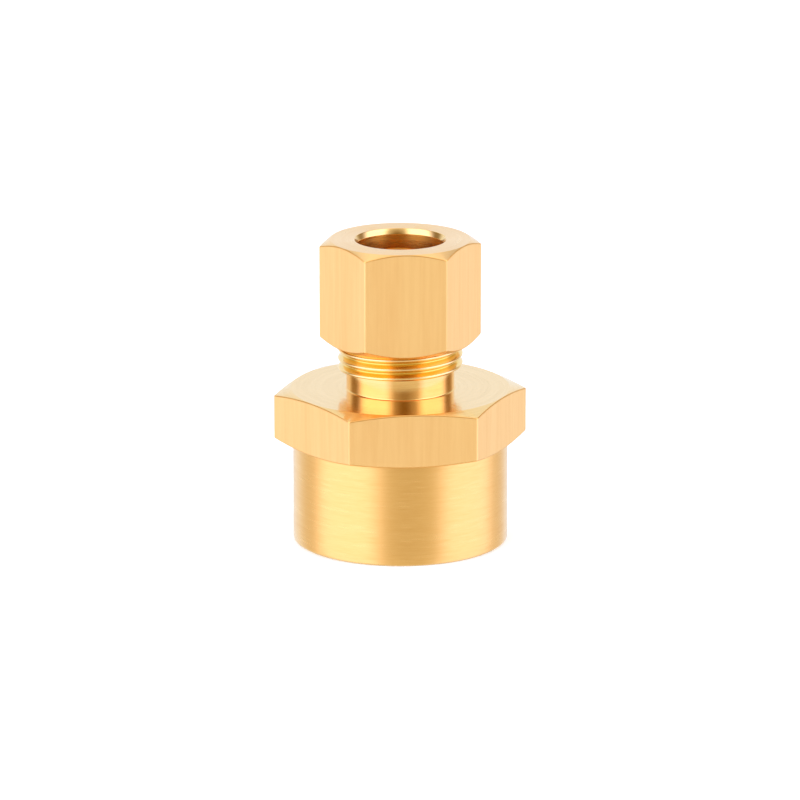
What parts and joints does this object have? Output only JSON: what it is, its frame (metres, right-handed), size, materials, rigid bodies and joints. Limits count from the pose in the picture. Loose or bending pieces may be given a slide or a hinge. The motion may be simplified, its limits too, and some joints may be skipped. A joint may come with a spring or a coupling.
{
  "type": "compression fitting",
  "caption": "Straight brass compression adapter: hexagon nut and sleeve on a threaded nose above a hexagon flange, with a round female pipe socket below.",
  "frame": {"origin": "centre of the pipe socket's lower end, on the fitting's axis", "axes": "+Z along the axis from the pipe socket to the compression nut; a flat of the flange hexagon faces -Y"},
  "size_m": [0.0288, 0.025, 0.0348],
  "materials": {
    "body_brass": "turned, satin, with drawn hexagon flats",
    "sleeve_brass": "fine turned",
    "nut_brass": "turned ends, drawn hexagon flats, satin"
  },
  "bodies": {
    "body": {"connector_body": "body_brass"},
    "sleeve": {"compression_sleeve": "sleeve_brass"},
    "nut": {"compression_nut": "nut_brass"}
  },
  "joints": [
    {"name": "sleeve_travel", "type": "slide", "parent": "body", "child": "sleeve", "axis": [0, 0, 1], "range_m": [-0.00106, 0.00212]},
    {"name": "nut_turn", "type": "hinge", "parent": "sleeve", "child": "nut", "pos_m": [0, 0, 0.0289], "axis": [0, 0, 1], "range_deg": [-360, 720]}
  ],
  "couplings": [
    {"joint": "sleeve_travel", "follows": "nut_turn", "m_per_rad": 0.00016844}
  ]
}
